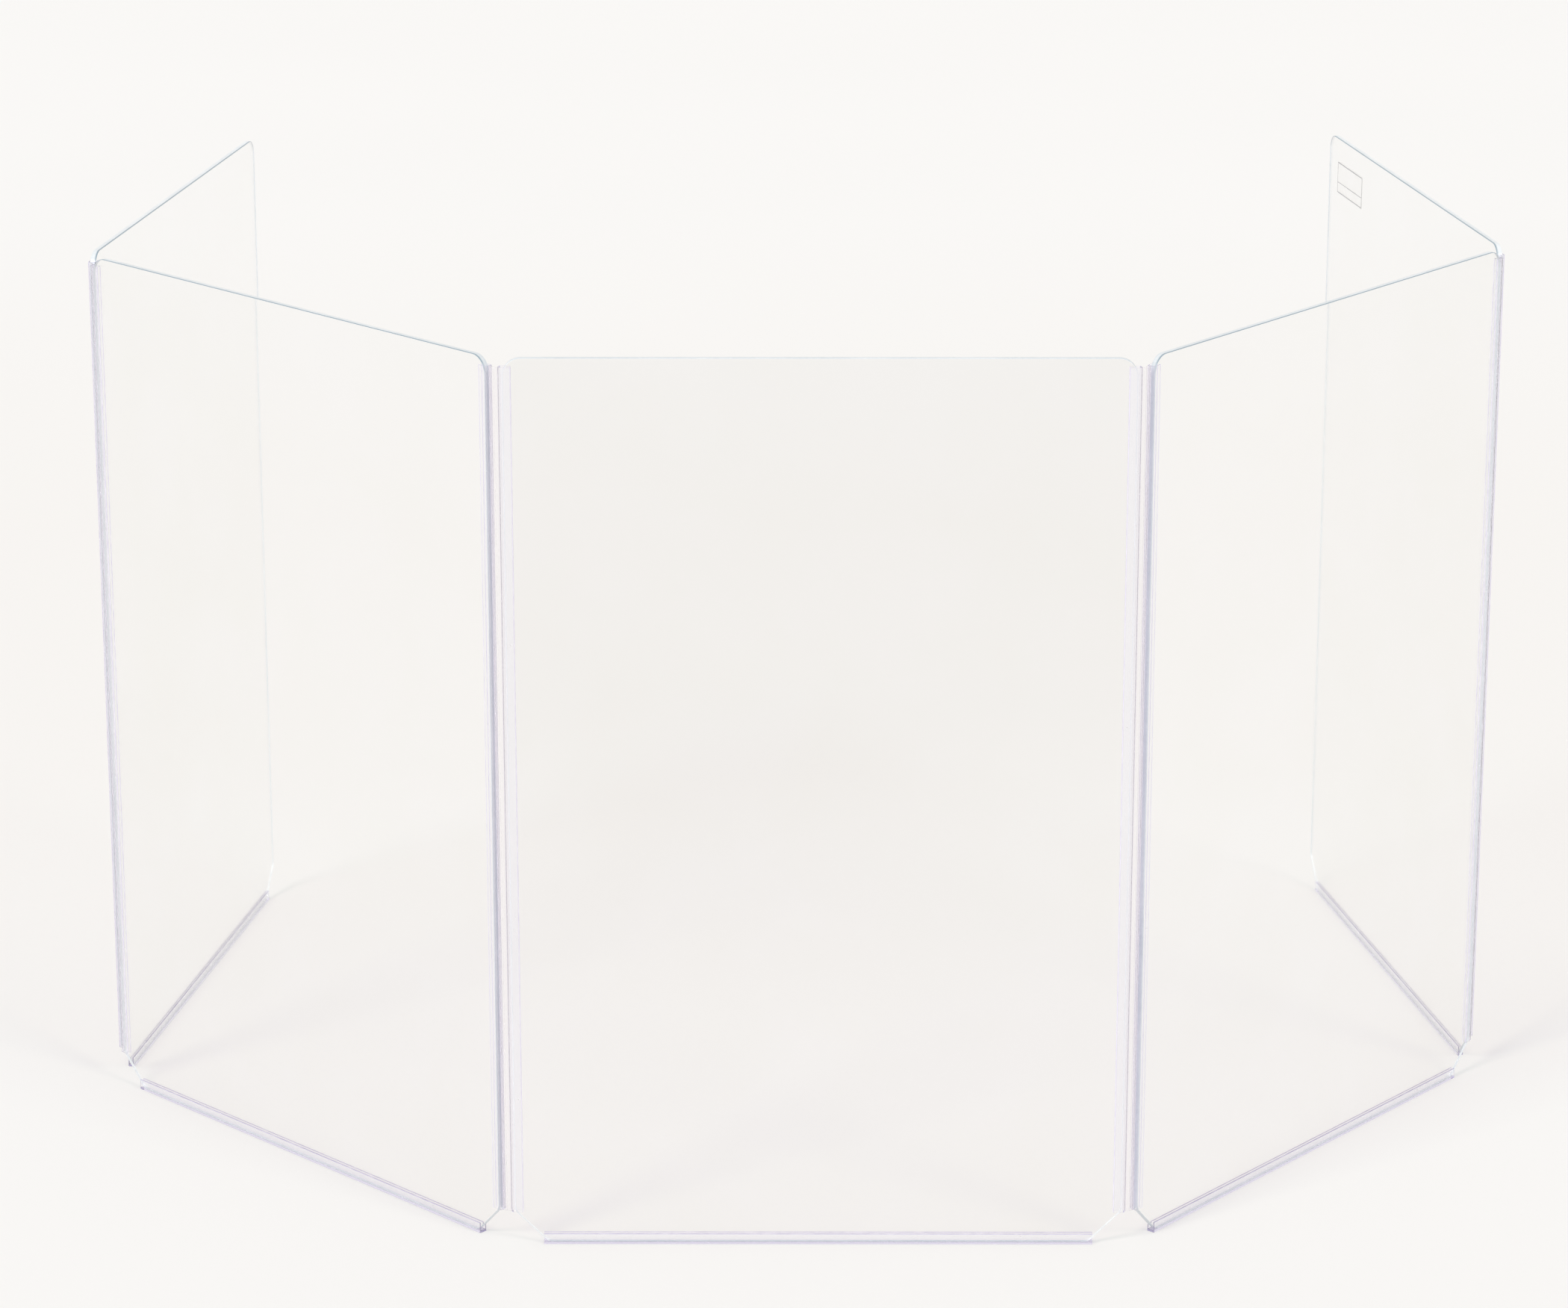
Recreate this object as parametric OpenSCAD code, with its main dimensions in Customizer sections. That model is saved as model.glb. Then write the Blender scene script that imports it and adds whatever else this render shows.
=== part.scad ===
// Folding desk privacy panel: five clear sheets joined by push-on hinge strips, each on a channel foot.
// The centre sheet stands on the X axis, the wings fold away from the viewer towards +Y, and Z = 0 is the desk.

/* [Sheets] */
// Width of each sheet
panel_w = 406; // [300:1:620]
// Height of each sheet
panel_h = 610; // [400:1:920]
// Thickness of the sheet
sheet_t = 4; // [3:0.1:6]
// Radius of the two top corners
top_corner_r = 12; // [5:0.5:30]
// Size of the 45 degree cut on the two bottom corners
bottom_cut = 22; // [16:0.5:40]
// Rounding at both ends of the bottom cut
cut_round_r = 8; // [2:0.5:12]

/* [Hinge strips] */
// From the back of a hinge channel to its lips
channel_depth = 7.7; // [6:0.1:12]
// Thickness of the channel's back
channel_back = 1; // [0.9:0.05:2]
// Thickness of the channel's two walls
channel_wall = 0.65; // [0.5:0.05:0.8]
// How far each wall swells off the sheet between back and lips
channel_swell = 0.2; // [0.1:0.05:0.4]
// Rounding of the channel's two back corners
channel_corner_r = 0.9; // [0.3:0.1:1.2]
// Space between the sheet's edge and the inside of the channel's back
edge_room = 1.2; // [0.5:0.1:3]
// Length of the flexible web between two channel backs, along its curve
web_len = 6.6; // [6.4:0.1:10]
// Thickness of the flexible web
web_t = 0.5; // [0.3:0.05:0.8]
// Radius of the round root along each edge of the web
web_root_r = 0.55; // [0.4:0.05:0.7]
// From the top of the sheet down to the top of the strip
strip_drop = 6; // [2:0.5:30]
// From the upper end of the bottom cut up to the lower end of the strip, negative for a strip that reaches below it
strip_rise = -3.7; // [-6:0.1:30]

/* [Feet] */
// Height of the foot channel
foot_h = 7.6; // [5:0.1:16]
// Thickness of the foot's floor under the sheet
foot_floor = 1.5; // [1:0.1:3]
// Thickness of the foot's two walls
foot_wall = 0.7; // [0.5:0.05:0.8]
// How far each wall stands off the sheet at the floor, leaning in to grip at the lips
foot_lean = 0.2; // [0.1:0.05:0.4]
// How far the foot runs past the straight bottom edge at each end
foot_overrun = 3; // [0:0.5:8]

/* [Fit] */
// Clearance between a gripping lip and the sheet
lip_gap = 0.02; // [0.01:0.01:0.1]
// Clearance between a web root and its groove
root_gap = 0.05; // [0.02:0.01:0.1]

/* [Label] */
// Width of the blank label
label_w = 64; // [20:1:120]
// Height of the blank label
label_h = 25; // [10:1:60]
// Thickness of the label film
label_t = 0.15; // [0.1:0.05:0.4]
// Radius of the label's corners
label_corner_r = 1.5; // [0.5:0.5:5]
// From the sheet's top and free edge to the label
label_inset = 18; // [13:1:60]

/* [Folds] */
// Fold between the centre sheet and the left side sheet
left_inner_fold = 45; // [10:1:90]
// Fold between the left side sheet and the left return sheet
left_outer_fold = 55; // [10:1:90]
// Fold between the centre sheet and the right side sheet
right_inner_fold = 50; // [10:1:90]
// Fold between the right side sheet and the right return sheet
right_outer_fold = 51; // [10:1:90]

/* [Hidden] */
$fn = 96;
left_folds = [left_inner_fold, left_outer_fold];
right_folds = [right_inner_fold, right_outer_fold];
acrylic = [0.78, 0.88, 0.91, 0.45];
rigid_pvc = [0.80, 0.78, 0.90, 0.55];
soft_pvc = [0.84, 0.83, 0.90, 0.50];
film = [0.93, 0.93, 0.92, 0.60];

// The outline's round corners start where a circle touches both edges of a 135 degree corner.
cut_setback = cut_round_r*tan(22.5);
half_w = panel_w/2;
half_grip = sheet_t/2 + lip_gap;

// A channel wall is one arc: its inner face clears the sheet by the swell and closes in to the lips.
wall_span = channel_depth - channel_back;
wall_inner_r = (wall_span*wall_span/4 + channel_swell*channel_swell)/(2*channel_swell);
wall_outer_r = wall_inner_r + channel_wall;
wall_arc_u = channel_back + wall_span/2;
wall_arc_v = half_grip + channel_swell - wall_inner_r;
channel_half = half_grip + channel_swell + channel_wall;
lip_r = channel_wall/2;

strip_top = foot_floor + panel_h - strip_drop;
strip_bottom = foot_floor + bottom_cut + cut_setback + strip_rise;
strip_h = strip_top - strip_bottom;

foot_len = panel_w - 2*bottom_cut + 2*foot_overrun;
foot_lip_r = foot_wall/2;
foot_half = half_grip + foot_lean + foot_wall;

// Each web bends in one even arc, so it meets both channel backs squarely.
// From a sheet's middle to the back of the channel on its edge
reach = half_w + edge_room + channel_back;
function heading(angle) = [cos(angle), sin(angle)];
function arc_r(fold) = web_len*180/(PI*fold);
function chord(fold) = 2*arc_r(fold)*sin(fold/2);
function side_root(folds) = [reach, 0] + chord(folds[0])*heading(folds[0]/2);
function side_middle(folds) = side_root(folds) + reach*heading(folds[0]);
function outer_root(folds) = side_middle(folds) + reach*heading(folds[0]);
function return_angle(folds) = folds[0] + folds[1];
function return_root(folds) =
    outer_root(folds) + chord(folds[1])*heading(folds[0] + folds[1]/2);
function return_middle(folds) = return_root(folds) + reach*heading(return_angle(folds));

// Placing: every right-hand piece is built along +X and turned into its fold, and the left is its mirror image
module at_side(folds) { translate(side_middle(folds)) rotate(folds[0]) children(); }
module at_return(folds) { translate(return_middle(folds)) rotate(return_angle(folds)) children(); }
module on_left() { mirror([1, 0, 0]) children(); }
module upright() { rotate([90, 0, 0]) children(); }

// Sheet outline: straight edges between the points where its six round corners start
module sheet_corner(x, y, r) { translate([x, y]) circle(r); }
module sheet_half() {
    cut_x = half_w - bottom_cut;
    diagonal = cut_setback*sin(45);
    polygon([
        [0, 0], [cut_x - cut_setback, 0], [cut_x + diagonal, diagonal],
        [half_w - diagonal, bottom_cut - diagonal], [half_w, bottom_cut + cut_setback],
        [half_w, panel_h - top_corner_r], [half_w - top_corner_r, panel_h], [0, panel_h]
    ]);
    sheet_corner(cut_x - cut_setback, cut_round_r, cut_round_r);
    sheet_corner(half_w - cut_round_r, bottom_cut + cut_setback, cut_round_r);
    sheet_corner(half_w - top_corner_r, panel_h - top_corner_r, top_corner_r);
}
module sheet() {
    color(acrylic) translate([0, sheet_t/2, foot_floor]) upright() linear_extrude(sheet_t) {
        sheet_half();
        mirror([1, 0]) sheet_half();
    }
}

// Foot section: a U whose walls lean in from the floor and end in round lips
module foot_wall_section() {
    lean_x = half_grip + foot_lean;
    lip_z = foot_h - foot_lip_r;
    polygon([
        [0, 0], [foot_half, 0], [half_grip + foot_wall, lip_z], [half_grip, lip_z],
        [lean_x, foot_floor], [0, foot_floor]
    ]);
    translate([half_grip + foot_lip_r, lip_z]) circle(foot_lip_r);
}
module foot() {
    color(rigid_pvc) translate([-foot_len/2, 0, 0]) rotate([90, 0, 90]) linear_extrude(foot_len) {
        foot_wall_section();
        mirror([1, 0]) foot_wall_section();
    }
}

// Hinge channel section: u runs from the channel's back over the sheet to the lips
module channel_lens(r, from_u, to_u) {
    intersection() {
        translate([wall_arc_u, wall_arc_v]) circle(r, $fn = 360);
        translate([wall_arc_u, -wall_arc_v]) circle(r, $fn = 360);
        translate([from_u, -channel_half]) square([to_u - from_u, 2*channel_half]);
    }
}
module channel_section() {
    back_half = wall_arc_v + sqrt(wall_outer_r*wall_outer_r - wall_arc_u*wall_arc_u);
    lip_u = channel_depth - lip_r;
    difference() {
        union() {
            channel_lens(wall_outer_r, channel_corner_r, lip_u);
            translate([0, channel_corner_r - back_half])
                square([2*channel_corner_r, 2*(back_half - channel_corner_r)]);
            for (side = [-1, 1]) {
                translate([channel_corner_r, side*(back_half - channel_corner_r)]) circle(channel_corner_r);
                translate([lip_u, side*(half_grip + lip_r)]) circle(lip_r);
            }
        }
        channel_lens(wall_inner_r, channel_back, channel_depth);
        circle(web_root_r + root_gap);
    }
}
// A channel on a sheet's edge: toward = 1 for the edge at +X, -1 for the one at -X
module channel(toward) {
    color(rigid_pvc) translate([toward*reach, 0, strip_bottom]) rotate(toward > 0 ? 180 : 0)
        linear_extrude(strip_h) channel_section();
}

// Flexible web: an even arc that leaves one channel back squarely and meets the next, with round roots
module web_strip(fold) {
    r = arc_r(fold);
    color(soft_pvc) translate([0, 0, strip_bottom]) {
        translate([0, r]) rotate(-90) rotate_extrude(angle = fold, $fn = 360)
            translate([r - web_t/2, 0]) square([web_t, strip_h]);
        cylinder(h = strip_h, r = web_root_r);
        translate(chord(fold)*heading(fold/2)) cylinder(h = strip_h, r = web_root_r);
    }
}
module inner_web(folds) { translate([reach, 0]) web_strip(folds[0]); }
module outer_web(folds) { translate(outer_root(folds)) rotate(folds[0]) web_strip(folds[1]); }

// The five sheets
module centre_panel() { sheet(); }
module left_side_panel() { on_left() at_side(left_folds) sheet(); }
module left_return_panel() { on_left() at_return(left_folds) sheet(); }
module right_side_panel() { at_side(right_folds) sheet(); }
module right_return_panel() { at_return(right_folds) sheet(); }

// Their feet
module centre_foot() { foot(); }
module left_side_foot() { on_left() at_side(left_folds) foot(); }
module left_return_foot() { on_left() at_return(left_folds) foot(); }
module right_side_foot() { at_side(right_folds) foot(); }
module right_return_foot() { at_return(right_folds) foot(); }

// Hinge between the centre and left side sheets
module left_inner_hinge_centre_channel() { on_left() channel(1); }
module left_inner_hinge_web() { on_left() inner_web(left_folds); }
module left_inner_hinge_side_channel() { on_left() at_side(left_folds) channel(-1); }

// Hinge between the left side and left return sheets
module left_outer_hinge_side_channel() { on_left() at_side(left_folds) channel(1); }
module left_outer_hinge_web() { on_left() outer_web(left_folds); }
module left_outer_hinge_return_channel() { on_left() at_return(left_folds) channel(-1); }

// Hinge between the centre and right side sheets
module right_inner_hinge_centre_channel() { channel(1); }
module right_inner_hinge_web() { inner_web(right_folds); }
module right_inner_hinge_side_channel() { at_side(right_folds) channel(-1); }

// Hinge between the right side and right return sheets
module right_outer_hinge_side_channel() { at_side(right_folds) channel(1); }
module right_outer_hinge_web() { outer_web(right_folds); }
module right_outer_hinge_return_channel() { at_return(right_folds) channel(-1); }

// Blank film stuck to the outer face of the right return sheet, by its free top corner
module label_outline() {
    square_w = label_w - 2*label_corner_r;
    square_h = label_h - 2*label_corner_r;
    translate([label_corner_r, 0]) square([square_w, label_h]);
    translate([0, label_corner_r]) square([label_w, square_h]);
    for (x = [label_corner_r, label_w - label_corner_r], y = [label_corner_r, label_h - label_corner_r])
        translate([x, y]) circle(label_corner_r);
}
module blank_label() {
    label_x = half_w - label_inset - label_w;
    label_z = foot_floor + panel_h - label_inset - label_h;
    at_return(right_folds) color(film)
        translate([label_x, -sheet_t/2, label_z]) upright() linear_extrude(label_t) label_outline();
}

centre_panel();
left_side_panel();
left_return_panel();
right_side_panel();
right_return_panel();
centre_foot();
left_side_foot();
left_return_foot();
right_side_foot();
right_return_foot();
left_inner_hinge_centre_channel();
left_inner_hinge_web();
left_inner_hinge_side_channel();
left_outer_hinge_side_channel();
left_outer_hinge_web();
left_outer_hinge_return_channel();
right_inner_hinge_centre_channel();
right_inner_hinge_web();
right_inner_hinge_side_channel();
right_outer_hinge_side_channel();
right_outer_hinge_web();
right_outer_hinge_return_channel();
blank_label();
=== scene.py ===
import math
import bmesh
import bpy
from mathutils import Matrix, Vector


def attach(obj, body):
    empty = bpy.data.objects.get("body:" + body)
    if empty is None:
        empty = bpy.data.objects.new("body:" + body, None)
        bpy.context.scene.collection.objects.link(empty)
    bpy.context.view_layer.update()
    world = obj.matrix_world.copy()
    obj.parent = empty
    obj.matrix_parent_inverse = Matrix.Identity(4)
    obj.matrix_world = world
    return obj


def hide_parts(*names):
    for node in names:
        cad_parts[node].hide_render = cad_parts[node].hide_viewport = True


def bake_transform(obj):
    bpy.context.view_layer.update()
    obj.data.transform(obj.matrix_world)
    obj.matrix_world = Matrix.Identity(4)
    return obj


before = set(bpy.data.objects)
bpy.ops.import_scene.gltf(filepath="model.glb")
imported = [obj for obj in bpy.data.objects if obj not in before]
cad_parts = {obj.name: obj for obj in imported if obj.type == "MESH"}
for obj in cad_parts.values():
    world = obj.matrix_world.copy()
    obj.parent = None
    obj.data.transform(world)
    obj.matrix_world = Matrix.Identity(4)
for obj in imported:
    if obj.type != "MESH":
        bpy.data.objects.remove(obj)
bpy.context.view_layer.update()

mm = 0.001
scene = bpy.context.scene
scene.view_settings.view_transform = "Standard"
# a line of sight crosses up to eight clear walls, each with two faces
scene.cycles.max_bounces = 40
scene.cycles.transmission_bounces = 40
scene.cycles.transparent_max_bounces = 40
scene.cycles.caustics_reflective = False
scene.cycles.caustics_refractive = False


def linear(colour):
    parts = [int(colour[i:i + 2], 16) / 255 for i in (1, 3, 5)]
    return [c / 12.92 if c <= 0.04045 else ((c + 0.055) / 1.055) ** 2.4 for c in parts] + [1.0]


# settings and links are keyed by socket name, or by number where names repeat
def addNode(tree, kind, settings=None, links=None):
    node = tree.nodes.new("ShaderNode" + kind)
    for key, value in (settings or {}).items():
        if isinstance(key, int) or key in node.inputs:
            node.inputs[key].default_value = value
        else:
            setattr(node, key, value)
    for key, (source, output) in (links or {}).items():
        tree.links.new(source.outputs[output], node.inputs[key])
    return node


# noise with patches of about the given size
def addNoise(tree, vector, sizeMm, settings=None):
    return addNode(tree, "TexNoise", {"Scale": 1 / (sizeMm * mm), **(settings or {})}, {"Vector": vector})


# a ramp from one colour to another, each given after its position
def addRamp(tree, amount, first, second):
    ramp = addNode(tree, "ValToRGB", links={"Fac": amount})
    for stop, (position, colour) in zip(ramp.color_ramp.elements, (first, second)):
        stop.position = position
        stop.color = linear(colour)
    return ramp


# turns a base colour towards another one. The mixed colour is output 2
def addTint(tree, amount, base, colour):
    return addNode(tree, "Mix", {"data_type": "RGBA", 7: linear(colour)}, {0: amount, 6: base})


def addMath(tree, operation, first, second):
    return addNode(tree, "Math", {"operation": operation}, {0: first, 1: second})


def addBump(tree, height, strength, depthMm):
    return addNode(tree, "Bump", {"Strength": strength, "Distance": depthMm * mm}, {"Height": height})


def newFinish(name):
    finish = bpy.data.materials.new(name)
    finish.use_nodes = True
    finish.node_tree.nodes.clear()
    return finish, finish.node_tree


# clear plastic lets the lamps through, so that it throws a faint tinted shadow and not a black one
def closeClear(tree, look, links):
    shader = addNode(tree, "BsdfPrincipled", {"IOR": look["ior"], "Transmission Weight": look["clear"],
                                              "Roughness": look["roughness"]}, links)
    path = addNode(tree, "LightPath")
    through = addNode(tree, "BsdfTransparent", {"Color": linear(look["shadow"])})
    lit = addMath(tree, "MAXIMUM", (path, "Is Shadow Ray"), (path, "Is Diffuse Ray"))
    mix = addNode(tree, "MixShader", links={0: (lit, "Value"), 1: (shader, 0), 2: (through, 0)})
    addNode(tree, "OutputMaterial", links={"Surface": (mix, 0)})


# Clear cast acrylic: polished faces, all but invisible, a trace darker and warmer than the air beside them,
# with reflections that waver a little as cast sheet is never quite flat. 1.49 is acrylic's usual index
acrylicFace = {"tint": "#FEFEFE", "haze": "#FDFDFC", "clear": 1.0, "roughness": 0.012, "hazyRoughness": 0.036,
               "ior": 1.49, "waveMm": 140, "waveStrength": 0.03, "waveDepthMm": 0.4, "smearMm": 90,
               "shadow": "#FCFBFB"}
faceFinish, tree = newFinish("castAcrylicPolishedFace")
where = addNode(tree, "TexCoord")
wave = addNoise(tree, (where, "Object"), acrylicFace["waveMm"], {"Detail": 1.0})
smear = addNoise(tree, (where, "Object"), acrylicFace["smearMm"], {"Detail": 4.0, "Distortion": 0.6})
clean = addRamp(tree, (smear, "Fac"), (0.35, acrylicFace["tint"]), (0.75, acrylicFace["haze"]))
polish = addNode(tree, "MapRange", {"From Min": 0.4, "From Max": 0.8, "To Min": acrylicFace["roughness"],
                                    "To Max": acrylicFace["hazyRoughness"]}, {"Value": (smear, "Fac")})
ripple = addBump(tree, (wave, "Fac"), acrylicFace["waveStrength"], acrylicFace["waveDepthMm"])
closeClear(tree, acrylicFace, {"Base Color": (clean, "Color"), "Roughness": (polish, "Result"),
                               "Normal": (ripple, "Normal")})

# Sawn and scraped acrylic edge: clouded, with cross lines from the saw. Its greyish teal is painted light,
# for the light trapped in the sheet that comes out here, and it is painted deeper along the top and on some
# sides as painted shade. Real lines are 0.3 mm apart, too fine to show, so they are drawn 2 mm apart
acrylicEdge = {"pale": "#F4F8FB", "deep": "#94A7B4", "clear": 0.12, "roughness": 0.28, "ior": 1.49,
               "sawMm": 2.0, "sawStrength": 0.12, "sawDepthMm": 0.08, "driftMm": 45, "uneven": 0.3,
               "shadow": "#DCE2E4"}
edgeFinish, tree = newFinish("sawnAcrylicEdge")
where = addNode(tree, "TexCoord")
tealGlowAndShade = addNode(tree, "Attribute", {"attribute_name": "tealGlowAndShade"})
across = addNode(tree, "Mapping", {"Scale": (1.0, 0.02, 1.0)}, {"Vector": (where, "Object")})
saw = addNoise(tree, (across, "Vector"), acrylicEdge["sawMm"])
drift = addNoise(tree, (across, "Vector"), acrylicEdge["driftMm"])
both = addNode(tree, "Math", {"operation": "MULTIPLY_ADD", 1: 0.5}, {0: (saw, "Fac"), 2: (drift, "Fac")})
stray = addNode(tree, "MapRange", {"From Min": 0.4, "From Max": 1.1, "To Min": -acrylicEdge["uneven"] / 2,
                                   "To Max": acrylicEdge["uneven"] / 2}, {"Value": (both, "Value")})
depth = addMath(tree, "ADD", (tealGlowAndShade, "Fac"), (stray, "Result"))
tone = addRamp(tree, (depth, "Value"), (0.0, acrylicEdge["pale"]), (1.0, acrylicEdge["deep"]))
cut = addBump(tree, (saw, "Fac"), acrylicEdge["sawStrength"], acrylicEdge["sawDepthMm"])
closeClear(tree, acrylicEdge, {"Base Color": (tone, "Color"), "Normal": (cut, "Normal")})


# an extruded section's colour, by each point's tint, which is toner and, on the rigid parts, painted shade as
# well, and the fine lines that the die leaves along the length
def extruded(tree, look):
    tint = addNode(tree, "Attribute", {"attribute_name": "tint"})
    around = addNode(tree, "Attribute", {"attribute_name": "around"})
    die = addNode(tree, "TexNoise", {"noise_dimensions": "1D", "Scale": 1 / look["dieMm"]},
                  {"W": (around, "Fac")})
    uneven = addNode(tree, "Math", {"operation": "MULTIPLY_ADD", 1: look["dieTint"]},
                     {0: (die, "Fac"), 2: (tint, "Fac")})
    tone = addRamp(tree, (uneven, "Value"), (look["paleTo"], look["pale"]), (1.0, look["deep"]))
    return tone, addBump(tree, (die, "Fac"), look["dieStrength"], look["dieDepthMm"])


# Extruded clear rigid PVC: blue-violet toner, painted deeper at the lips, backs and corners, partly for the
# toner seen along the wall there and partly as painted shade for the dark lines that refraction of the darker
# surroundings draws. Dust clings to it in pale specks. PVC's usual index is 1.53, and the lower one here is
# matched to the look of these thin walls in the photo
rigidPvc = {"pale": "#FDFDFF", "deep": "#E0DAEF", "paleTo": 0.1, "clear": 0.97, "roughness": 0.06,
            "ior": 1.34, "dieMm": 0.7, "dieTint": 0.12, "dieStrength": 0.08, "dieDepthMm": 0.05,
            "dust": "#FFFFFF", "dustMm": 3.2, "dustCover": 0.5, "dustRoughness": 0.6, "shadow": "#FAF9FB"}
rigidFinish, tree = newFinish("extrudedRigidClearPvc")
where = addNode(tree, "TexCoord")
tone, lines = extruded(tree, rigidPvc)
speck = addNoise(tree, (where, "Object"), rigidPvc["dustMm"], {"Detail": 1.0})
dust = addNode(tree, "MapRange", {"From Min": 0.77, "From Max": 0.8, "To Max": rigidPvc["dustCover"]},
               {"Value": (speck, "Fac")})
dusty = addTint(tree, (dust, "Result"), (tone, "Color"), rigidPvc["dust"])
matt = addNode(tree, "MapRange", {"To Min": rigidPvc["roughness"], "To Max": rigidPvc["dustRoughness"]},
               {"Value": (dust, "Result")})
closeClear(tree, rigidPvc, {"Base Color": (dusty, 2), "Roughness": (matt, "Result"),
                            "Normal": (lines, "Normal")})

# Sawn PVC end: the saw leaves it half clouded, and its deep blue-violet is painted light, for the light from
# along the length that comes out here
sawnPvc = {"pale": "#DAD4F0", "deep": "#B7ADDB", "clear": 0.35, "roughness": 0.4, "ior": 1.53, "sawMm": 0.8,
           "sawStrength": 0.2, "sawDepthMm": 0.05, "shadow": "#F4F2F7"}
endFinish, tree = newFinish("sawnRigidPvcEnd")
where = addNode(tree, "TexCoord")
saw = addNoise(tree, (where, "Object"), sawnPvc["sawMm"], {"Detail": 3.0})
tone = addRamp(tree, (saw, "Fac"), (0.35, sawnPvc["deep"]), (0.7, sawnPvc["pale"]))
score = addBump(tree, (saw, "Fac"), sawnPvc["sawStrength"], sawnPvc["sawDepthMm"])
closeClear(tree, sawnPvc, {"Base Color": (tone, "Color"), "Normal": (score, "Normal")})

# Drawn PVC lips: the die drags on so thin an edge and clouds it. The feet's lips are painted as violet lines
# and the hinge channels' as paler ones: partly toner seen end on, partly painted shade for the dark lines at
# the lips. The index is matched to the photo too
drawnPvc = {"roughness": 0.4, "ior": 1.3, "dragMm": 6, "shadow": "#FAF9FB"}
lipLooks = {"foot": {"pale": "#D6D0E6", "deep": "#B6AECF", "clear": 0.3},
            "channel": {"pale": "#F7F5FD", "deep": "#E3DEF2", "clear": 0.1}}
lipFinish = {}
for part, look in lipLooks.items():
    lipFinish[part], tree = newFinish("drawnRigidPvcLip." + part)
    where = addNode(tree, "TexCoord")
    drag = addNoise(tree, (where, "Object"), drawnPvc["dragMm"])
    tone = addRamp(tree, (drag, "Fac"), (0.3, look["deep"]), (0.75, look["pale"]))
    closeClear(tree, {**drawnPvc, **look}, {"Base Color": (tone, "Color")})

# Extruded soft clear PVC: plasticised, so paler, a little cloudy and less sharply glossy than the rigid
# walls. Its usual index is about 1.52, and the lower one is matched to the photo too
softPvc = {"pale": "#FCFBFB", "deep": "#F0EDF5", "paleTo": 0.15, "clear": 0.9, "roughness": 0.12, "ior": 1.3,
           "dieMm": 0.6, "dieTint": 0.4, "dieStrength": 0.1, "dieDepthMm": 0.05, "shadow": "#FBFAFC"}
softFinish, tree = newFinish("extrudedSoftClearPvc")
tone, lines = extruded(tree, softPvc)
closeClear(tree, softPvc, {"Base Color": (tone, "Color"), "Normal": (lines, "Normal")})

# Clear polyester label film: thin and smooth. Its glue leaves no air behind it, so that its faces hardly
# reflect. So its index is far below polyester's usual 1.6, to match the photo
labelFilm = {"tint": "#FFFFFF", "glue": "#FCFCFB", "clear": 0.98, "roughness": 0.1, "ior": 1.08, "glueMm": 9,
             "shadow": "#FEFEFE"}
filmFinish, tree = newFinish("clearPolyesterFilm")
where = addNode(tree, "TexCoord")
glue = addNoise(tree, (where, "Object"), labelFilm["glueMm"], {"Detail": 3.0})
tone = addRamp(tree, (glue, "Fac"), (0.4, labelFilm["tint"]), (0.7, labelFilm["glue"]))
closeClear(tree, labelFilm, {"Base Color": (tone, "Color")})

# Screen-printed grey ink: a thin flat line, a little uneven where the mesh left it thinner
printedInk = {"full": "#70707A", "thin": "#8C8C96", "roughness": 0.55, "meshMm": 0.8}
inkFinish, tree = newFinish("printedGreyInk")
where = addNode(tree, "TexCoord")
mesh = addNoise(tree, (where, "Object"), printedInk["meshMm"])
tone = addRamp(tree, (mesh, "Fac"), (0.0, printedInk["full"]), (1.0, printedInk["thin"]))
ink = addNode(tree, "BsdfPrincipled", {"Roughness": printedInk["roughness"]}, {"Base Color": (tone, "Color")})
addNode(tree, "OutputMaterial", links={"Surface": (ink, 0)})
print("finishes made")

# corners that turn further than this, in degrees, stay sharp
sharpTurn = 34


# marks are numbers kept with each point for the finishes to read, such as how violet it looks
def makePiece(name, points, faces, finishes, faceFinishes=None, marks=None, place=None):
    work = bmesh.new()
    verts = [work.verts.new(Vector(p) * mm) for p in points]
    for i, face in enumerate(faces):
        made = work.faces.new([verts[v] for v in face])
        made.smooth = True  # so that only the turn decides which corners are sharp
        made.material_index = faceFinishes[i] if faceFinishes else 0
    bmesh.ops.recalc_face_normals(work, faces=work.faces)
    data = bpy.data.meshes.new(name)
    work.to_mesh(data)
    work.free()
    for mark, values in (marks or {}).items():
        data.attributes.new(mark, "FLOAT", "POINT").data.foreach_set("value", values)
    for finish in finishes:
        data.materials.append(finish)
    data.set_sharp_from_angle(angle=math.radians(sharpTurn))
    for side in data.polygons:
        side.use_smooth = side.loop_total == 4  # end caps and sheet faces stay flat
    piece = bpy.data.objects.new(name, data)
    scene.collection.objects.link(piece)
    if place:
        piece.matrix_world = place
    return piece


def arc(middle, radius, first, last, steps):
    turns = [math.radians(first + (last - first) * i / steps) for i in range(steps + 1)]
    return [(middle[0] + radius * math.cos(t), middle[1] + radius * math.sin(t)) for t in turns]


# evenly spaced values after start, up to end and with it
def stepsTo(start, end, count):
    return [start + (end - start) * i / count for i in range(1, count + 1)]


# moves a closed outline inwards along its corner normals, at most 2.5 times the distance at sharp corners
def shrink(outline, distance):
    moved = []
    for i, point in enumerate(outline):
        before, after = Vector(outline[i - 1]), Vector(outline[(i + 1) % len(outline)])
        here = Vector(point)
        first, second = (here - before).normalized(), (after - here).normalized()
        normal = Vector((-first.y - second.y, first.x + second.x)).normalized()
        spread = max(0.4, normal.dot(Vector((-first.y, first.x))))
        moved.append(tuple(here + normal * distance / spread))
    return moved


# finish 2 for the sides of an outline beyond a limit along one axis, as a lip is, and 0 for the rest
def lipFaces(outline, axis, limit):
    return [2 * (min(a[axis], b[axis]) > limit - 0.001) for a, b in zip(outline, outline[1:] + outline[:1])]


# how far around the outline each point is, in mm
def distances(outline):
    walked = [0.0]
    for a, b in zip(outline, outline[1:]):
        walked.append(walked[-1] + math.dist(a, b))
    return walked


# the sides between two rings of points, which start at low and at high
def bridge(low, high, size):
    return [(low + i, low + (i + 1) % size, high + (i + 1) % size, high + i) for i in range(size)]


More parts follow.
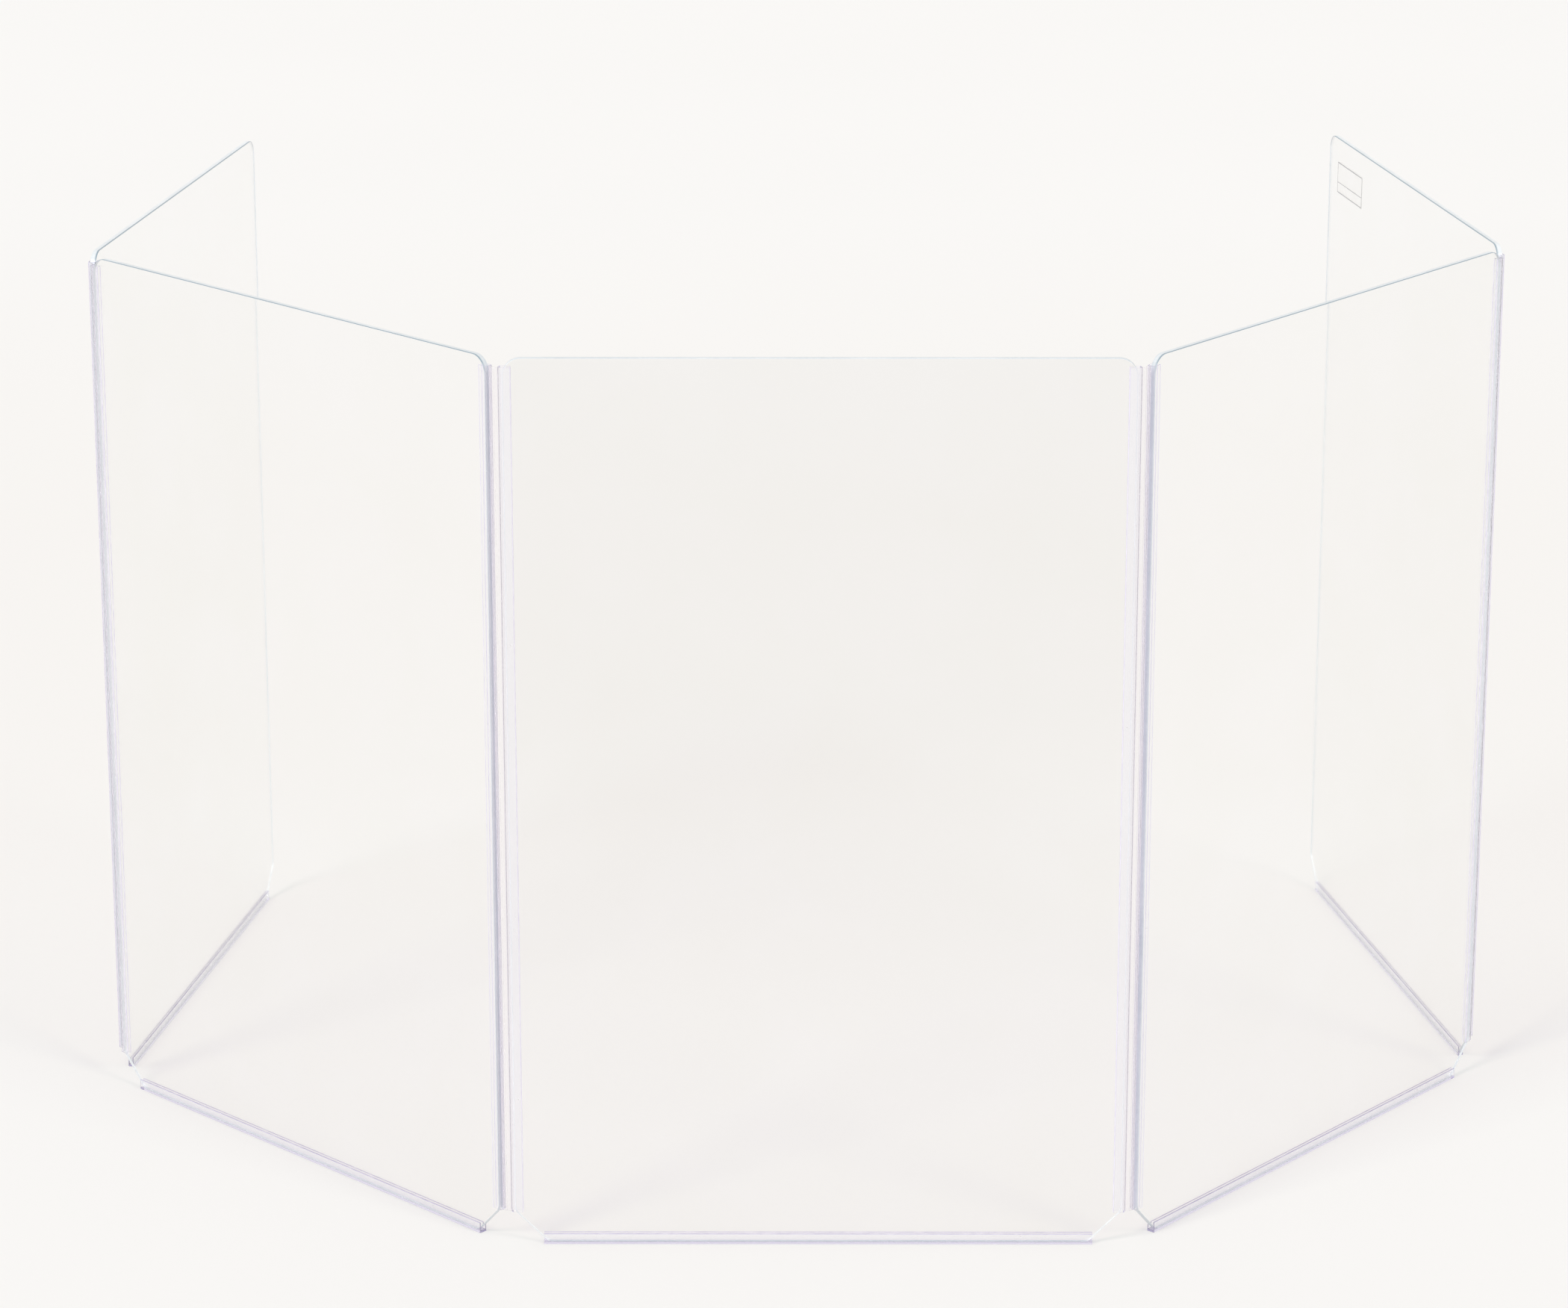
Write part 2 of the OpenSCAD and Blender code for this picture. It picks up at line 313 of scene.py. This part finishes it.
# sweeps an outline through levels of (how far shrunk, how far along) and closes both ends
def sweep(outline, levels):
    points, faces, size = [], [], len(outline)
    for inset, along in levels:
        ring = shrink(outline, inset) if inset else outline
        points += [(x, y, along) for x, y in ring]
    last = (len(levels) - 1) * size
    for low in range(0, last, size):
        faces += bridge(low, low + size, size)
    faces += [tuple(reversed(range(size))), tuple(range(last, last + size))]
    return points, faces


# levels for a length with rounded ends, and one more beside each so that the rounding does not bend the
# long faces' normals, which would make a prism of every clear wall
def eased(start, end, ease, steps=2):
    first = []
    for i in range(steps + 1):
        turn = math.radians(90 * i / steps)
        first.append((ease * (1 - math.sin(turn)), ease * (1 - math.cos(turn))))
    first.append((0, ease * 1.5))
    return [(inset, start + up) for inset, up in first] + [(inset, end - up) for inset, up in reversed(first)]


# 1 inside a limit, falling to 0 over the width beyond it
def fade(beyond, width):
    return max(0.0, 1 - max(0.0, beyond) / width)


# Where everything stands, in mm, by the same folds as the CAD model
folds = {"left": (45, 55), "right": (50, 51)}
sheet = {"width": 406, "height": 610, "thick": 4, "topRound": 12, "bottomCut": 22, "cutRound": 8, "ease": 0.3,
         "lift": 1.5, "tealBand": 1.4, "tealLow": 0.5}
channel = {"depth": 7.7, "back": 1.0, "wall": 0.65, "swell": 0.2, "cornerRound": 0.9, "edgeRoom": 1.2,
           "lipGap": 0.02, "groove": 0.6, "drop": 6, "rise": -3.7, "ease": 0.12, "beside": 0.1,
           "backTint": 0.2, "wallTint": 0.03, "lipTint": 0.5, "tintFade": 0.3}
# each half of a web starts at its own root, and bendFrom and bendTo mark two points along it from there
web = {"length": 6.6, "thick": 0.5, "root": 0.55, "steps": 20, "rootSteps": 14, "ease": 0.1,
       "bendFrom": -0.3, "bendTo": 1.0, "rootTint": 0.8, "rootTintReach": 0.8, "arcTint": 0.1}
halfWidth = sheet["width"] / 2
halfGrip = sheet["thick"] / 2 + channel["lipGap"]
reach = halfWidth + channel["edgeRoom"] + channel["back"]
setback = sheet["cutRound"] * math.tan(math.radians(45 / 2))
stripLow = sheet["lift"] + sheet["bottomCut"] + setback + channel["rise"]
stripHigh = sheet["lift"] + sheet["height"] - channel["drop"]


def step(point, length, angle):
    turn = math.radians(angle)
    return (point[0] + length * math.cos(turn), point[1] + length * math.sin(turn))


def arcRadius(fold):
    return web["length"] / math.radians(fold)


def chord(fold):
    return 2 * arcRadius(fold) * math.sin(math.radians(fold) / 2)


spots = {"centre": Matrix.Identity(4)}
roots = {}
for side, sign in (("left", -1), ("right", 1)):
    angle, near, inside = 0, (reach, 0), "centre"
    for name, fold, outside in zip(("inner", "outer"), folds[side], (side + "_side", side + "_return")):
        far = step(near, chord(fold), angle + fold / 2)
        roots[side + "_" + name] = {"near": near, "angle": angle, "fold": fold, "sign": sign,
                                    "inside": inside, "outside": outside}
        angle += fold
        middle = step(far, reach, angle)
        spots[outside] = (Matrix.Translation((sign * middle[0] * mm, middle[1] * mm, 0))
                          @ Matrix.Rotation(math.radians(sign * angle), 4, "Z"))
        near, inside = step(middle, reach, angle), outside

# Sheets: round top corners, bottom corners cut off with rounded ends, all edges scraped to a small round
cutX = halfWidth - sheet["bottomCut"]
half = arc((cutX - setback, sheet["cutRound"]), sheet["cutRound"], -90, -45, 8)
half += arc((halfWidth - sheet["cutRound"], sheet["bottomCut"] + setback), sheet["cutRound"], -45, 0, 8)
half += arc((halfWidth - sheet["topRound"], sheet["height"] - sheet["topRound"]), sheet["topRound"],
            0, 90, 18)
sheetOutline = half + [(-x, z) for x, z in reversed(half)]
levels = eased(-sheet["thick"] / 2, sheet["thick"] / 2, sheet["ease"])
# two more levels across the edge, for the tints beside the faces to end at
bandAt = sheet["thick"] / 2 - sheet["tealBand"]
levels[len(levels) // 2:len(levels) // 2] = [(0, -bandAt), (0, bandAt)]
points, faces = sweep(sheetOutline, levels)
points = [(x, y, z + sheet["lift"]) for x, z, y in points]
edgeOrFace = [1] * (len(faces) - 2) + [0, 0]
topAt = sheet["lift"] + sheet["height"] - sheet["topRound"]
# how deep each sheet's painted teal glow and painted shade are on its edges: along the bottom, up the sides,
# and along the top beside the front face, in the middle and beside the rear face
edgeTealGlowAndShade = {"centre": {"bottom": 0.6, "upright": 0.05, "front": 0.4, "middle": 0.2, "rear": 0.3},
            "left_side": {"bottom": 0.4, "upright": 0.25, "front": 1.2, "middle": 0.2, "rear": 0.3},
            "right_side": {"bottom": 0.4, "upright": 0.35, "front": 1.2, "middle": 0.2, "rear": 0.3},
            "left_return": {"bottom": 0.4, "upright": 0.35, "front": 0.1, "middle": 0.1, "rear": 1.2},
            "right_return": {"bottom": 0.4, "upright": 0.35, "front": 0.1, "middle": 0.1, "rear": 1.2}}


# how deep the painted teal glow and painted shade are at a point of a sheet's edge
def sheetTealGlowAndShade(y, z, tealGlowAndShade):
    if z < sheet["lift"] + sheet["tealLow"]:
        return tealGlowAndShade["bottom"]
    strip = "middle"
    if abs(y) > bandAt + 0.01:
        strip = "front" if y < 0 else "rear"
    up = min(1.0, max(0.0, (z - topAt) / sheet["topRound"]))
    return tealGlowAndShade["upright"] + (tealGlowAndShade[strip] - tealGlowAndShade["upright"]) * up


for body, place in spots.items():
    marks = {"tealGlowAndShade": [sheetTealGlowAndShade(y, z, edgeTealGlowAndShade[body]) for x, y, z in points]}
    piece = makePiece("sheet." + body, points, faces, [faceFinish, edgeFinish], edgeOrFace, marks, place)
    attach(piece, body)
    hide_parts(body + "_panel")
print("five sheets made")

# Feet: a floor under the sheet and two walls that lean in to round lips. tint is how violet each part of
# it looks, toner and painted shade together. A point beside each round keeps the normals of the wall straight
foot = {"height": 7.6, "floor": 1.5, "wall": 0.7, "lean": 0.2, "overrun": 3, "cornerRound": 0.45,
        "innerRound": 0.3, "ease": 0.15, "beside": 0.1, "seatGap": 0.03, "floorTint": 0.8, "floorFade": 0.3,
        "wallTint": 0.0, "lipTint": 0.9, "lipFade": 0.2, "pastFade": 0.1}
lipRound = foot["wall"] / 2
lipHigh = foot["height"] - lipRound
footHalf = halfGrip + foot["lean"] + foot["wall"]
floorTop = foot["floor"] - foot["seatGap"]


# points up or down a leaning wall
def wallPoints(start, end, heights):
    lean = (end[0] - start[0]) / (end[1] - start[1])
    return [(start[0] + lean * (z - start[1]), z) for z in heights]


# the wall's points lie just past the places where its tints end
pastFloor = foot["floor"] + foot["floorFade"] + foot["pastFade"]
pastLip = lipHigh - foot["lipFade"] - foot["pastFade"]
besideLip = lipHigh - foot["beside"]
innerX, innerLow = halfGrip + foot["lean"], floorTop + foot["innerRound"]
half = [(footHalf - foot["cornerRound"] - foot["beside"], 0)]
half += arc((footHalf - foot["cornerRound"], foot["cornerRound"]), foot["cornerRound"], -90, 0, 5)
half += wallPoints(half[-1], (halfGrip + 2 * lipRound, lipHigh),
                   (foot["cornerRound"] + foot["beside"], foot["floor"], pastFloor, pastLip, besideLip))
half += arc((halfGrip + lipRound, lipHigh), lipRound, 0, 180, 8)
half += wallPoints(half[-1], (innerX, innerLow), (besideLip, pastLip, innerLow + foot["beside"]))
half += arc((innerX - foot["innerRound"], innerLow), foot["innerRound"], 0, -90, 4)
half += [(innerX - foot["innerRound"] - foot["beside"], floorTop)]
footOutline = half + [(-y, z) for y, z in reversed(half)]


# the tint deepens at the floor and at the lips, where toner and painted shade make dark violet lines
def footTintAndShade(z):
    low = fade(z - foot["floor"], foot["floorFade"]) * (foot["floorTint"] - foot["wallTint"])
    high = fade(lipHigh - z, foot["lipFade"]) * (foot["lipTint"] - foot["wallTint"])
    return foot["wallTint"] + low + high


footLength = sheet["width"] - 2 * sheet["bottomCut"] + 2 * foot["overrun"]
levels = eased(-footLength / 2, footLength / 2, foot["ease"])
points, faces = sweep(footOutline, levels)
marks = {"tint": [footTintAndShade(z) for y, z, x in points], "around": distances(footOutline) * len(levels)}
points = [(x, y, z) for y, z, x in points]
wallEndOrLip = lipFaces(footOutline, 1, lipHigh) * (len(levels) - 1) + [1, 1]
for body, place in spots.items():
    piece = makePiece("foot." + body, points, faces, [rigidFinish, endFinish, lipFinish["foot"]],
                      wallEndOrLip, marks, place)
    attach(piece, body)
    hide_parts(body + "_foot")
print("five feet made")

# Hinge channels: each wall is one arc that swells off the sheet and closes in to a round lip,
# and a groove along the back holds the web's root. u runs in from the back and v across the sheet
span = channel["depth"] - channel["back"]
innerRound = (span * span / 4 + channel["swell"] ** 2) / (2 * channel["swell"])
outerRound = innerRound + channel["wall"]
arcU = channel["back"] + span / 2
arcV = halfGrip + channel["swell"] - innerRound
lipRound = channel["wall"] / 2
lipU = channel["depth"] - lipRound


def wallV(radius, u):
    return arcV + math.sqrt(radius ** 2 - (u - arcU) ** 2)


backHalf = wallV(outerRound, 0)
corner = channel["cornerRound"]
shoulder = wallV(outerRound, corner) - backHalf + corner
half = [(0, channel["groove"]), (0, backHalf - corner - channel["beside"])]
half += [(corner - corner * math.cos(t), backHalf - corner + shoulder * math.sin(t))
         for t in (math.pi / 2 * i / 6 for i in range(7))]
half += [(u, wallV(outerRound, u)) for u in stepsTo(corner, lipU, 14)[:-1]]
half += arc((lipU, halfGrip + lipRound), lipRound, 90, -90, 8)
half += [(u, wallV(innerRound, u)) for u in stepsTo(lipU, channel["back"], 12)]
groove = arc((0, 0), channel["groove"], -90, 90, 10)[1:-1]
channelOutline = [(u, -v) for u, v in half] + [(u, v) for u, v in reversed(half)] + list(reversed(groove))


# the tint deepens at the back and at the lip, where toner and painted shade make violet lines
def channelTintAndShade(u):
    back = fade(u - channel["back"], channel["tintFade"]) * (channel["backTint"] - channel["wallTint"])
    lip = fade(lipU - u, channel["tintFade"]) * (channel["lipTint"] - channel["wallTint"])
    return channel["wallTint"] + back + lip


levels = eased(stripLow, stripHigh, channel["ease"], 1)
sectionPoints, faces = sweep(channelOutline, levels)
marks = {"tint": [channelTintAndShade(u) for u, v, z in sectionPoints],
         "around": distances(channelOutline) * len(levels)}
wallEndOrLip = lipFaces(channelOutline, 0, lipU) * (len(levels) - 1) + [1, 1]
for hinge, root in roots.items():
    side = hinge.split("_")[0]
    for body, toward in ((root["inside"], root["sign"]), (root["outside"], -root["sign"])):
        points = [(toward * (reach - u), -toward * v, z) for u, v, z in sectionPoints]
        sheetName = body.replace(side + "_", "")
        piece = makePiece("channel.%s.%s" % (hinge, sheetName), points, faces,
                          [rigidFinish, endFinish, lipFinish["channel"]], wallEndOrLip, marks, spots[body])
        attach(piece, body)
        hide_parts("%s_hinge_%s_channel" % (hinge, sheetName))
print("eight hinge channels made")

# Hinge webs: one even arc between the two backs, made as two halves, each with its own root
midZ = (stripLow + stripHigh) / 2 * mm
levels = eased(stripLow, stripHigh, web["ease"], 1)
for hinge, root in roots.items():
    fold, radius = root["fold"], arcRadius(root["fold"])
    leave = math.asin(web["thick"] / 2 / web["root"])
    leaveTurn = math.degrees(leave)
    first = web["root"] * math.cos(leave) / radius
    turns = [first] + stepsTo(first, math.radians(fold / 2), web["steps"])
    outer, inner = radius + web["thick"] / 2, radius - web["thick"] / 2
    nearHalf = [(outer * math.sin(t), radius - outer * math.cos(t)) for t in turns]
    nearHalf += [(inner * math.sin(t), radius - inner * math.cos(t)) for t in reversed(turns)]
    nearHalf += arc((0, 0), web["root"], leaveTurn, 360 - leaveTurn, web["rootSteps"])[1:-1]
    axis = Vector((math.sin(math.radians(fold / 2)), -math.cos(math.radians(fold / 2))))
    centre = Vector((0, radius))
    # the far half is the near one mirrored in the line through the middle of the arc
    spokes = [Vector(p) - centre for p in nearHalf]
    farHalf = [tuple(centre + 2 * spoke.dot(axis) * axis - spoke) for spoke in spokes]
    farHalf.reverse()
    turn = Matrix.Rotation(math.radians(root["angle"]), 2)
    tints = [web["rootTint"] if math.hypot(*p) < web["rootTintReach"] else web["arcTint"] for p in nearHalf]
    farRoot = step((0, 0), chord(fold), fold / 2)
    ends = [(web["bendFrom"], 0), (web["bendTo"], 0),
            step(farRoot, -web["bendTo"], fold), step(farRoot, -web["bendFrom"], fold)]
    ends = [Vector(root["near"]) + turn @ Vector(p) for p in ends]
    ends = [(root["sign"] * p.x * mm, p.y * mm, midZ) for p in ends]
    webBody = hinge + "_web"
    for name, outline, tone, a, b, start, end in (
            ("near", nearHalf, tints, root["inside"], webBody, ends[0], ends[1]),
            ("far", farHalf, tints[::-1], webBody, root["outside"], ends[2], ends[3])):
        points, faces = sweep(outline, levels)
        placed = [(Vector(root["near"]) + turn @ Vector((x, y)), z) for x, y, z in points]
        points = [(root["sign"] * p.x, p.y, z) for p, z in placed]
        marks = {"tint": tone * len(levels), "around": distances(outline) * len(levels)}
        piece = makePiece("web.%s.%s" % (hinge, name), points, faces, [softFinish], None, marks)
        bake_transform(piece)
        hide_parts(hinge + "_hinge_web")
print("four hinge webs made")

# Label: a bare film with a thin printed border and one rule across it
label = {"width": 64, "height": 25, "thick": 0.15, "round": 1.5, "ease": 0.03, "inset": 18, "line": 0.8,
         "margin": 0.7, "ruleUp": 8.5, "ruleLine": 0.56, "inkThick": 0.02, "glueGap": 0.03}
lowX = halfWidth - label["inset"] - label["width"]
lowZ = sheet["lift"] + sheet["height"] - label["inset"] - label["height"]
backY = -sheet["thick"] / 2
inkY = backY - label["thick"]


def roundedBox(x0, z0, x1, z1, r):
    outline = arc((x1 - r, z0 + r), r, -90, 0, 6) + arc((x1 - r, z1 - r), r, 0, 90, 6)
    return outline + arc((x0 + r, z1 - r), r, 90, 180, 6) + arc((x0 + r, z0 + r), r, 180, 270, 6)


filmOutline = roundedBox(lowX, lowZ, lowX + label["width"], lowZ + label["height"], label["round"])
points, faces = sweep(filmOutline, eased(label["glueGap"], label["thick"], label["ease"], 1))
points = [(x, backY - y, z) for x, z, y in points]
labelPiece = makePiece("label.film", points, faces, [filmFinish], place=spots["right_return"])
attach(labelPiece, "right_return")
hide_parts("blank_label")

outside = shrink(filmOutline, label["margin"])
inside = shrink(filmOutline, label["margin"] + label["line"])
size = len(outside)
points, faces = [], []
for ring, lift in ((outside, 0), (outside, label["inkThick"]), (inside, label["inkThick"]), (inside, 0)):
    points += [(x, inkY - lift, z) for x, z in ring]
for level in range(4):
    faces += bridge(level * size, (level + 1) % 4 * size, size)
border = makePiece("label.border", points, faces, [inkFinish], place=spots["right_return"])
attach(border, "right_return")

ruleEdge = label["margin"] + label["line"]
ruleLeft, ruleRight = lowX + ruleEdge, lowX + label["width"] - ruleEdge
ruleLow = lowZ + label["ruleUp"]
ruleHigh = ruleLow + label["ruleLine"]
ruleOutline = [(ruleLeft, ruleLow), (ruleRight, ruleLow), (ruleRight, ruleHigh), (ruleLeft, ruleHigh)]
points, faces = sweep(ruleOutline, [(0, 0), (0, label["inkThick"])])
points = [(x, inkY - y, z) for x, z, y in points]
rule = makePiece("label.rule", points, faces, [inkFinish], place=spots["right_return"])
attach(rule, "right_return")
print("label made")

# Floor: a smooth painted studio floor, off-white and matt, that takes soft shadows. Its size and the
# ranges where its painted shade and its painted dark reflection come and go are in metres, with y running
# away from the camera
floor = {"size": 60, "paint": "#F6F5F4", "worn": "#F4F3F2", "roughness": 0.9, "gloss": 0.1, "patchMm": 900,
         "gapMm": 0.2, "shade": "#F3F1EF", "shadeComes": (0.3, 1.0), "shadeGoes": (3.2, 1.8),
         "dim": "#4C443E", "dimComes": (-0.45, -1.2)}
floorFinish, tree = newFinish("mattStudioFloorPaint")
where = addNode(tree, "TexCoord")
axes = addNode(tree, "SeparateXYZ", links={"Vector": (where, "Object")})
ranges = {}
for name in ("shadeComes", "shadeGoes", "dimComes"):
    start, end = floor[name]
    ranges[name] = addNode(tree, "MapRange", {"From Min": start, "From Max": end}, {"Value": (axes, "Y")})
patch = addNoise(tree, (where, "Object"), floor["patchMm"], {"Detail": 1.0})
tone = addRamp(tree, (patch, "Fac"), (0.0, floor["paint"]), (1.0, floor["worn"]))
# painted shade: a faint warm band across the floor behind the object, where a studio sweep would darken as
# it starts to rise
paintedShadeBand = addMath(tree, "MULTIPLY", (ranges["shadeComes"], "Result"), (ranges["shadeGoes"], "Result"))
shaded = addTint(tree, (paintedShadeBand, "Value"), (tone, "Color"), floor["shade"])
# painted reflection: in glossy reflections only, the floor in front is painted dark, so that the sheets show
# a faint dim reflection as of an unlit room in front
path = addNode(tree, "LightPath")
bounced = addMath(tree, "MULTIPLY", (path, "Is Glossy Ray"), (path, "Is Reflection Ray"))
mirrored = addMath(tree, "MULTIPLY", (ranges["dimComes"], "Result"), (bounced, "Value"))
shown = addTint(tree, (mirrored, "Value"), (shaded, 2), floor["dim"])
paint = addNode(tree, "BsdfPrincipled",
                {"Roughness": floor["roughness"], "Specular IOR Level": floor["gloss"]},
                {"Base Color": (shown, 2)})
addNode(tree, "OutputMaterial", links={"Surface": (paint, 0)})
edgeAt = floor["size"] / 2 / mm
corners = ((-edgeAt, -edgeAt), (edgeAt, -edgeAt), (edgeAt, edgeAt), (-edgeAt, edgeAt))
points = [(x, y, -floor["gapMm"]) for x, y in corners]
ground = makePiece("floor", points, [(0, 1, 2, 3)], [floorFinish])

# Studio air: white to the eye and in clear plastic, gentler as a light
studio = {"seen": "#FCFCFA", "seenStrength": 1.0, "light": "#FFFFFF", "lightStrength": 0.38}
world = bpy.data.worlds.new("studio")
scene.world = world
world.use_nodes = True
tree = world.node_tree
tree.nodes.clear()
path = addNode(tree, "LightPath")
direct = addMath(tree, "MAXIMUM", (path, "Is Camera Ray"), (path, "Is Glossy Ray"))
seen = addMath(tree, "MAXIMUM", (direct, "Value"), (path, "Is Transmission Ray"))
air = addNode(tree, "Background", {"Color": linear(studio["seen"]), "Strength": studio["seenStrength"]})
glow = addNode(tree, "Background", {"Color": linear(studio["light"]), "Strength": studio["lightStrength"]})
mix = addNode(tree, "MixShader", links={0: (seen, "Value"), 1: (glow, 0), 2: (air, 0)})
addNode(tree, "OutputWorld", links={"Surface": (mix, 0)})

# Two distant soft boxes, front left and front right, whose shadows cross behind the object
lamps = {"softBoxLeft": {"from": (-3.4, -3.6, 4.4), "spread": 16, "strength": 2.0, "colour": "#FFFEFC"},
         "softBoxRight": {"from": (3.6, -3.4, 4.0), "spread": 16, "strength": 1.2, "colour": "#FFFEFC"}}
for name, lamp in lamps.items():
    light = bpy.data.lights.new(name, "SUN")
    light.angle = math.radians(lamp["spread"])
    light.energy = lamp["strength"]
    light.color = linear(lamp["colour"])[:3]
    box = bpy.data.objects.new(name, light)
    box.location = lamp["from"]
    box.rotation_euler = (-box.location).to_track_quat("-Z", "Y").to_euler()
    scene.collection.objects.link(box)

# Camera: as in the photograph, about 17 degrees above the level with a long lens. clipEnd is in metres
camera = {"place": (-17.0, -3232.4, 1406.9), "aim": (-22.96, 0.0, 413.8), "lens": 119.7, "sensor": 36.0,
          "clipEnd": 200}
eye = bpy.data.objects.new("camera", bpy.data.cameras.new("camera"))
eye.data.lens = camera["lens"]
eye.data.sensor_width = camera["sensor"]
eye.data.clip_end = camera["clipEnd"]
eye.location = Vector(camera["place"]) * mm
eye.rotation_euler = (Vector(camera["aim"]) * mm - eye.location).to_track_quat("-Z", "Y").to_euler()
scene.collection.objects.link(eye)
scene.camera = eye
print("floor, light and camera set")
